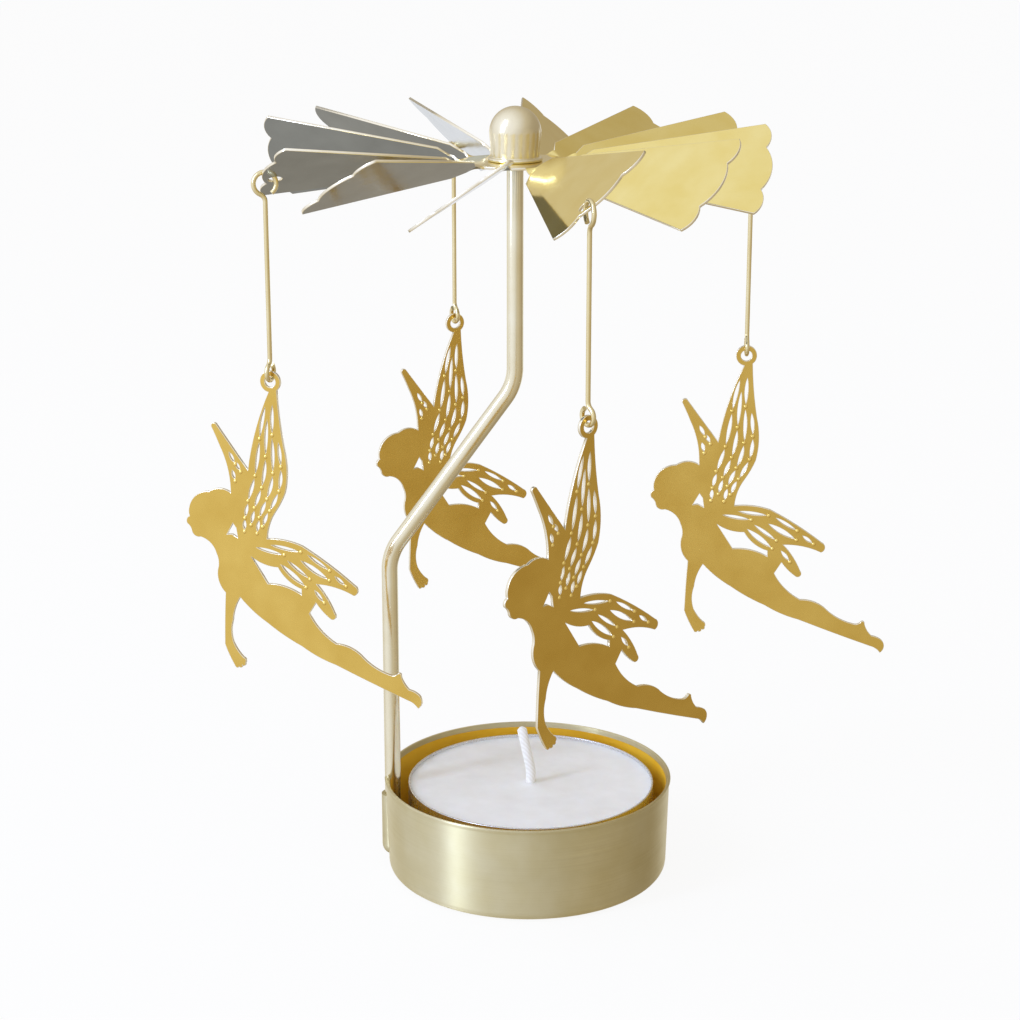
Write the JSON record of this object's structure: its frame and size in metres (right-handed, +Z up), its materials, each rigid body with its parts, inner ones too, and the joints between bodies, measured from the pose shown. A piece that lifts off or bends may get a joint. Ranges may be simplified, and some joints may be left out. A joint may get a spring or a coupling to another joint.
{
  "type": "tealight carousel",
  "caption": "Tealight candle carousel: a cup with a bent rod whose point carries a vane wheel that spins in warm air, with pierced fairies hung on wires.",
  "frame": {"origin": "centre of the candle cup's underside, on the surface that the object stands on", "axes": "+Z up, along the spin axis; the rod stands on the -X side of the cup; -Y faces the picture's camera"},
  "size_m": [0.1077, 0.0903, 0.1187],
  "materials": {
    "cup_gold": "brushed, pale gold",
    "rod_gold": "polished, pale gold",
    "vane_gold": "mirror polished, gold",
    "cap_gold": "polished, gold",
    "wire_gold": "polished, pale gold",
    "fairy_gold": "satin, gold",
    "tealight_foil": "pressed foil",
    "wax": "smooth, waxy",
    "wick_cotton": "waxed cotton",
    "sustainer_steel": "tinned"
  },
  "bodies": {
    "stand": {"candle_cup": "cup_gold", "stand_rod": "rod_gold"},
    "tealight": {"tealight_cup": "tealight_foil", "tealight_wax": "wax", "wick": "wick_cotton", "wick_sustainer": "sustainer_steel"},
    "wheel": {"vane_wheel": "vane_gold", "hub_cap": "cap_gold"},
    "hanger_right": {"hanger_right": "wire_gold"},
    "fairy_right": {"fairy_right": "fairy_gold"},
    "hanger_back": {"hanger_back": "wire_gold"},
    "fairy_back": {"fairy_back": "fairy_gold"},
    "hanger_left": {"hanger_left": "wire_gold"},
    "fairy_left": {"fairy_left": "fairy_gold"},
    "hanger_front": {"hanger_front": "wire_gold"},
    "fairy_front": {"fairy_front": "fairy_gold"}
  },
  "joints": [
    {"name": "wheel_spin", "type": "hinge", "parent": "stand", "child": "wheel", "pos_m": [-0.002, 0, 0.11755], "axis": [0, 0, 1], "continuous": true},
    {"name": "tealight_lift", "type": "slide", "parent": "stand", "child": "tealight", "axis": [0, 0, 1], "range_m": [0, 0.015]},
    {"name": "hanger_right_swing", "type": "hinge", "parent": "wheel", "child": "hanger_right", "pos_m": [0.03348, 0.00965, 0.10852], "axis": [0.309, -0.9511, 0], "range_deg": [-10, 25]},
    {"name": "fairy_right_swivel", "type": "hinge", "parent": "hanger_right", "child": "fairy_right", "pos_m": [0.03348, 0.00965, 0.07981], "axis": [0, 0, 1], "range_deg": [-30, 30]},
    {"name": "hanger_back_swing", "type": "hinge", "parent": "wheel", "child": "hanger_back", "pos_m": [-0.01181, 0.03546, 0.10843], "axis": [0.9511, 0.309, 0], "range_deg": [-10, 25]},
    {"name": "fairy_back_swivel", "type": "hinge", "parent": "hanger_back", "child": "fairy_back", "pos_m": [-0.01181, 0.03546, 0.07972], "axis": [0, 0, 1], "range_deg": [-30, 30]},
    {"name": "hanger_left_swing", "type": "hinge", "parent": "wheel", "child": "hanger_left", "pos_m": [-0.03751, -0.00942, 0.10877], "axis": [-0.309, 0.9511, 0], "range_deg": [-10, 25]},
    {"name": "fairy_left_swivel", "type": "hinge", "parent": "hanger_left", "child": "fairy_left", "pos_m": [-0.03751, -0.00942, 0.08005], "axis": [0, 0, 1], "range_deg": [-30, 30]},
    {"name": "hanger_front_swing", "type": "hinge", "parent": "wheel", "child": "hanger_front", "pos_m": [0.0077, -0.03547, 0.10849], "axis": [-0.9511, -0.309, 0], "range_deg": [-10, 25]},
    {"name": "fairy_front_swivel", "type": "hinge", "parent": "hanger_front", "child": "fairy_front", "pos_m": [0.0077, -0.03547, 0.07978], "axis": [0, 0, 1], "range_deg": [-30, 30]}
  ]
}
